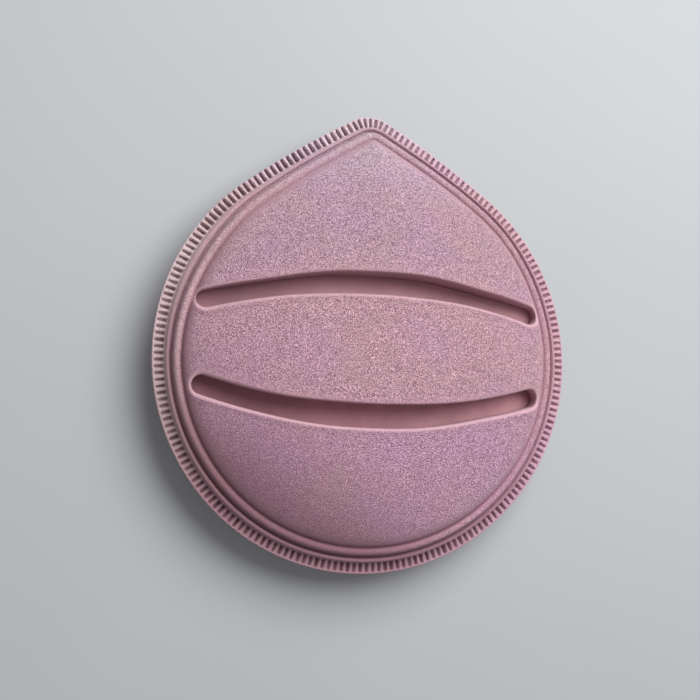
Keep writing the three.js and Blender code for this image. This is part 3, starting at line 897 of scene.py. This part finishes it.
class Finish:
    """A material under construction, with its main shader."""

    def __init__(self, name):
        self.material = bpy.data.materials.new(name)
        self.material.use_nodes = True
        self.tree = self.material.node_tree
        self.shader = self.tree.nodes["Principled BSDF"]
        self.place = self.add("ShaderNodeTexCoord", out="Object")

    def add(self, kind, values=None, out=0, **settings):
        """A node of any kind: its settings come first, then the values or links of its sockets."""
        node = self.tree.nodes.new(kind)
        for name, value in settings.items():
            setattr(node, name, value)
        for name, value in (values or {}).items():
            self.feed(node.inputs[name], value)
        return Signal(self, node.outputs[out])

    def feed(self, socket, value):
        if isinstance(value, Signal):
            self.tree.links.new(value.socket, socket)
        elif isinstance(value, tuple) and len(value) == 3 and socket.type == "RGBA":
            socket.default_value = (*value, 1)
        else:
            socket.default_value = value

    def noise(self, scale, detail, roughness=0.5, twist=0.0):
        values = {"Scale": scale, "Detail": detail, "Roughness": roughness, "Distortion": twist}
        return self.add("ShaderNodeTexNoise", {"Vector": self.place, **values}, "Fac")

    def mask(self, name):
        return self.add("ShaderNodeAttribute", out="Fac", attribute_name=name)

    def metres(self, axis):
        """X runs to the right and Y towards the tip."""
        return self.add("ShaderNodeSeparateXYZ", {0: self.place}, axis)

    def between(self, value, low, high):
        """A value remapped so that low gives 0 and high gives 1."""
        return self.add("ShaderNodeMapRange", {0: value, 1: low, 2: high, 3: 0.0, 4: 1.0}, clamp=True)

    def mix(self, factor, first, second, blend="MIX"):
        values = {0: factor, 6: first, 7: second}
        return self.add("ShaderNodeMix", values, 2, data_type="RGBA", blend_type=blend)

    def bump(self, height, distance, strength=1.0):
        return self.add("ShaderNodeBump", {"Height": height, "Distance": distance, "Strength": strength})

    def set(self, **values):
        for name, value in values.items():
            self.feed(self.shader.inputs[name.replace("_", " ")], value)

    def dress(self, piece, slot):
        piece.data.materials.append(self.material)


# %% [markdown]
# ## The suede
#
# Brushed microfibre is matt. Its nap stands in fine curls, about a fifth of a millimetre across, that show
# as a grain of light tops and dark gaps, and broad patches look a little more purple or more beige. The
# nap is greyer over the tip's panel and more lilac on the heel's, and painted shade darkens it towards the
# heel's left edge. A faint sheen lights it at grazing angles. Where the mould pressed it the grain is
# flatter and browner beside the lines. The grooves are painted nearly black, partly as crushed cloth and
# mostly as painted shade, darkest on the heel's left. The lips are paler where pressed and carry a painted
# highlight, strongest on each slot's side nearer the heel. The bead between the grooves has painted shade
# at the heel's left and is rubbed paler from the tip down the left side. Deep in the slots the walls get
# painted shade, with a painted shadow line at their foot.

# %% Mix the suede
def suede(name):
    finish = Finish(name)
    curl = 1 - abs(finish.noise(4400.0, 0.0, twist=0.5) - 0.5) * 6.0
    fibre = finish.noise(6800.0, 0.0)
    patch = finish.noise(120.0, 3.0, 0.55)
    tint = finish.noise(70.0, 2.0)
    nap = finish.between(curl * 0.28 + fibre, 0.427, 0.847)
    color = finish.mix(nap, (0.26, 0.128, 0.17), (1.0, 0.64, 0.73))
    along, across = finish.metres("Y"), finish.metres("X")
    # Painted shade: the suede grows darker towards the heel's lower left, away from the light.
    heel = finish.between(along + across * 0.62, -0.016, -0.041)
    color = finish.mix(heel * 0.5, color, (0.60, 0.345, 0.405))
    lilac = finish.between(along, -0.008, -0.018) * (1 - heel)
    front, tip = finish.between(along, 0.006, 0.018), finish.between(along, 0.026, 0.038)
    for factor, wash in (
        (finish.between(tint, 0.42, 0.62) * 0.22 + lilac * 0.24, (0.95, 0.88, 1.32)),
        (finish.between(patch, 0.5, 0.68) * 0.3, (1.05, 1.0, 0.90)),
        (front * 0.3, (0.76, 0.95, 0.93)),
        (tip * 0.4, (1.15, 1.55, 1.60)),
        # more painted shade towards the heel's lower left
        (heel * heel * 0.8, (0.50, 0.42, 0.47)),
    ):
        color = finish.mix(factor, color, wash, "MULTIPLY")
    finish.set(Sheen_Tint=(0.95, 0.8, 0.86, 1))
    return finish, nap, color


suede_finish, nap, color = suede("brushed suede")
pressed = suede_finish.mask("pressed")
color = suede_finish.mix(pressed * 0.5, color, (0.47, 0.255, 0.30))
# Below, the lips get a painted highlight, and the grooves, the bead, the slots' deep walls and their foot get
# painted shade.
for name, strength, tint, *blend in (
    ("lip", 0.5, (0.90, 0.60, 0.66)),
    ("groove_shade", 0.72, (0.15, 0.055, 0.075)),
    ("bead_shade", 0.34, (0.16, 0.06, 0.085)),
    ("rubbed", 1.0, (1.06, 1.2, 1.05), "MULTIPLY"),
    ("depth", 0.5, (0.46, 0.22, 0.26)),
    ("foot", 0.5, (0.17, 0.065, 0.085)),
):
    color = suede_finish.mix(suede_finish.mask(name) * strength, color, tint, *blend)
suede_finish.set(
    Base_Color=color, Roughness=0.92 - pressed * 0.12,
    Sheen_Weight=0.25, Sheen_Roughness=0.45, Specular_IOR_Level=0.25,
    Normal=suede_finish.bump(nap * (1 - pressed * 0.75), 0.00016, 0.8))
suede_finish.dress(suede_cover, "grip_suede")

# %% [markdown]
# ## The rim
#
# The weld melts the cloth a little: the crests of the ribs are paler with a painted highlight, the valleys
# are slightly glossier and painted dark as shade, and the smooth ledge inside the ribs is browner. Round
# the heel's left, away from the light, painted shade darkens the ledge most and the whole rim a little.
# From the tip down the left side the rim is rubbed greyer and paler.

# %% Mix the rim
rim_finish, nap, color = suede("pressed rim")
valley, ledge, low_left_shade = (rim_finish.mask(name) for name in ("valley", "ledge", "low_left"))
for factor, tint in (
    # painted highlight on the ribs' crests
    ((1 - valley) * 0.4, (0.78, 0.50, 0.56)),
    (ledge * 0.55, (0.42, 0.22, 0.265)),
    # painted shade on the ledge and the whole rim round the heel's lower left, away from the light
    (ledge * low_left_shade * 0.4, (0.14, 0.055, 0.075)),
    (low_left_shade * 0.22, (0.2, 0.1, 0.12)),
    # painted shade in the ribs' valleys
    (valley * 0.9, (0.13, 0.05, 0.065)),
):
    color = rim_finish.mix(factor, color, tint)
rub = rim_finish.mask("rubbed") * (1 - ledge * 0.6)
color = rim_finish.mix(rub, color, (1.16, 1.46, 1.28), "MULTIPLY")
rim_finish.set(
    Base_Color=color, Roughness=0.8 - valley * 0.1,
    Sheen_Weight=0.15, Sheen_Roughness=0.5, Specular_IOR_Level=0.3,
    Normal=rim_finish.bump(nap, 0.0001, 0.5))
rim_finish.dress(rim_weld, "rim")

# %% [markdown]
# ## The cloths and foams
#
# The pocket's cloth is a fine flat knit in a browner pink, with painted shade towards the left, and lighter
# in the slot at the tip. The velour of the soft face has a short dense pile. The foams show their cells as
# small dark pits, which a Voronoi texture gives.

# %% Mix the knit
def knit(name, light, dark):
    finish = Finish(name)
    values = {"Vector": finish.place, "Scale": 1400.0, "Distortion": 2.5, "Detail": 2.0}
    ribs = finish.add("ShaderNodeTexWave", values, "Fac", wave_type="BANDS", bands_direction="X")
    uneven = finish.noise(240.0, 3.0)
    color = finish.mix(finish.between(ribs * 0.1 + uneven * 0.9, 0.3, 0.7), dark, light)
    left_shade = finish.between(finish.metres("X"), -0.008, -0.028)
    front = finish.between(finish.metres("Y"), 0.0, 0.008)
    color = finish.mix(front * 0.3, color, (0.95, 0.62, 0.68))
    # painted shade towards the left, away from the light
    color = finish.mix(left_shade * 0.62, color, (0.30, 0.145, 0.185))
    finish.set(
        Base_Color=color, Roughness=0.85 - uneven * 0.1,
        Specular_IOR_Level=0.3, Normal=finish.bump(ribs, 0.00002, 0.4))
    return finish


knit("pocket knit", (0.70, 0.385, 0.425), (0.60, 0.315, 0.35)).dress(pocket_cloth, "floor_cloth")
knit("lining knit", (0.42, 0.24, 0.27), (0.33, 0.18, 0.21)).dress(band_lining_cloth, "lining")

# %% Mix the velour
velour = Finish("face velour")
pile = velour.between(velour.noise(1900.0, 3.0, 0.6), 0.32, 0.68)
lie = velour.noise(90.0, 3.0, 0.55)
color = velour.mix(pile, (0.50, 0.30, 0.35), (0.68, 0.45, 0.50))
color = velour.mix(velour.between(lie, 0.4, 0.65) * 0.4, color, (0.66, 0.46, 0.50))
velour.set(
    Base_Color=color, Roughness=0.95 - lie * 0.08,
    Sheen_Weight=0.5, Sheen_Roughness=0.4, Sheen_Tint=(1, 0.88, 0.9, 1), Specular_IOR_Level=0.2,
    Normal=velour.bump(pile, 0.0002, 0.8))
velour.dress(soft_face, "face_cloth")

# %% Mix the foams
def foam(name, light, dark, cell_scale):
    finish = Finish(name)
    values = {"Vector": finish.place, "Scale": cell_scale}
    cells = finish.add("ShaderNodeTexVoronoi", values, "Distance", feature="F1")
    pits = finish.between(cells, 0.25, 0.6)
    finish.set(
        Base_Color=finish.mix(pits, dark, light), Roughness=0.9 - pits * 0.05,
        Specular_IOR_Level=0.2, Normal=finish.bump(pits, 0.0003, 0.7))
    return finish


foam("open sponge", (0.82, 0.66, 0.63), (0.55, 0.38, 0.37), 1100.0).dress(sponge_filling, "sponge")
backing = foam("moulded foam", (0.76, 0.57, 0.56), (0.58, 0.40, 0.40), 1800.0)
for pad in (tip_foam, band_foam, heel_foam):
    backing.dress(pad, "backing_foam")

# %% [markdown]
# ## What stands for what
#
# Every new piece rides on the one body and takes the place of its solid. For the stretched sheets the
# width and length of each cutting line are worked out.

# %% Tie the pieces to the frame
stands_for = {
    suede_cover: "grip_cover", rim_weld: "crimped_rim", pocket_cloth: "pocket_floor", soft_face: "face_cover",
    sponge_filling: "foam_core", tip_foam: "tip_pad", band_foam: "band_pad", heel_foam: "heel_pad",
    band_lining_cloth: "band_lining",
}
for piece, node in stands_for.items():
    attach(piece, "root")
    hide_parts(node)
for piece, cutting_line, under in (
    (suede_cover, outline_loop(0, 400), ["tip_foam", "band_foam", "heel_foam"]),
    (pocket_cloth, outline_loop(skin_inset, 400), ["sponge_filling"]),
    (band_lining_cloth, band_loop, ["band_foam"]),
):
    width, length = np.ptp(cutting_line, axis=0)

# %% [markdown]
# ## Floor, light and camera
#
# The puff lies on a pale table. One broad soft light stands above the tip's side, a little to the right, so
# each slot's wall on the tip's side is in shade and its lip nearer the heel is lit. A pale sky fills the
# shadows. The camera stands nearly above and leans a little.

# %% Lay the table
table_mesh = bpy.data.meshes.new("table")
half = 0.6
corners = [(-half, -half, 0), (half, -half, 0), (half, half, 0), (-half, half, 0)]
table_mesh.from_pydata(corners, [], [(0, 1, 2, 3)])
table = bpy.data.objects.new("table", table_mesh)
scene.collection.objects.link(table)
table_finish = Finish("pale table")
haze = table_finish.noise(14.0, 2.0)
table_finish.set(
    Base_Color=table_finish.mix(haze, (0.47, 0.50, 0.52), (0.52, 0.55, 0.57)), Roughness=0.65 + haze * 0.1)
table_mesh.materials.append(table_finish.material)

# %% Set the light
light = bpy.data.lights.new("soft light", "AREA")
light.shape, light.size, light.energy, light.color = "DISK", 0.44, 2.5, (1.0, 0.985, 0.975)
lamp = bpy.data.objects.new("soft light", light)
lamp.location = (0.15, 0.22, 0.37)
lamp.rotation_euler = (-lamp.location).to_track_quat("-Z", "Y").to_euler()
scene.collection.objects.link(lamp)
world = bpy.data.worlds.new("pale sky")
world.use_nodes = True
sky = world.node_tree.nodes["Background"].inputs
sky["Color"].default_value, sky["Strength"].default_value = (0.98, 0.97, 1.0, 1), 0.27
scene.world = world
scene.view_settings.view_transform = "Standard"

# %% Stand the camera
tilt_x, tilt_y, roll = -0.0771, 0.2562, -0.0284
shift_x, shift_y, away = 3.193, -1.760, 235.39  # mm in the camera's own directions
tilt = Matrix.Rotation(math.hypot(tilt_x, tilt_y), 3, Vector((tilt_x, tilt_y, 0)))
to_camera = tilt @ Matrix.Rotation(roll, 3, "Z")
turn_back = to_camera.transposed()
stand = turn_back @ Vector((-shift_x, -shift_y, away)) + Vector((0, heel_y, edge_height))
lens = bpy.data.cameras.new("camera")
lens.sensor_width = 36
lens.lens = 1200 / 700 * 36  # a focal length of 1200 pixels in a view 700 pixels wide
lens.clip_start = 0.01
camera = bpy.data.objects.new("camera", lens)
camera.matrix_world = Matrix.Translation(stand * mm) @ turn_back.to_4x4()
scene.collection.objects.link(camera)
scene.camera = camera
print("camera at", [round(value, 4) for value in camera.matrix_world.translation])
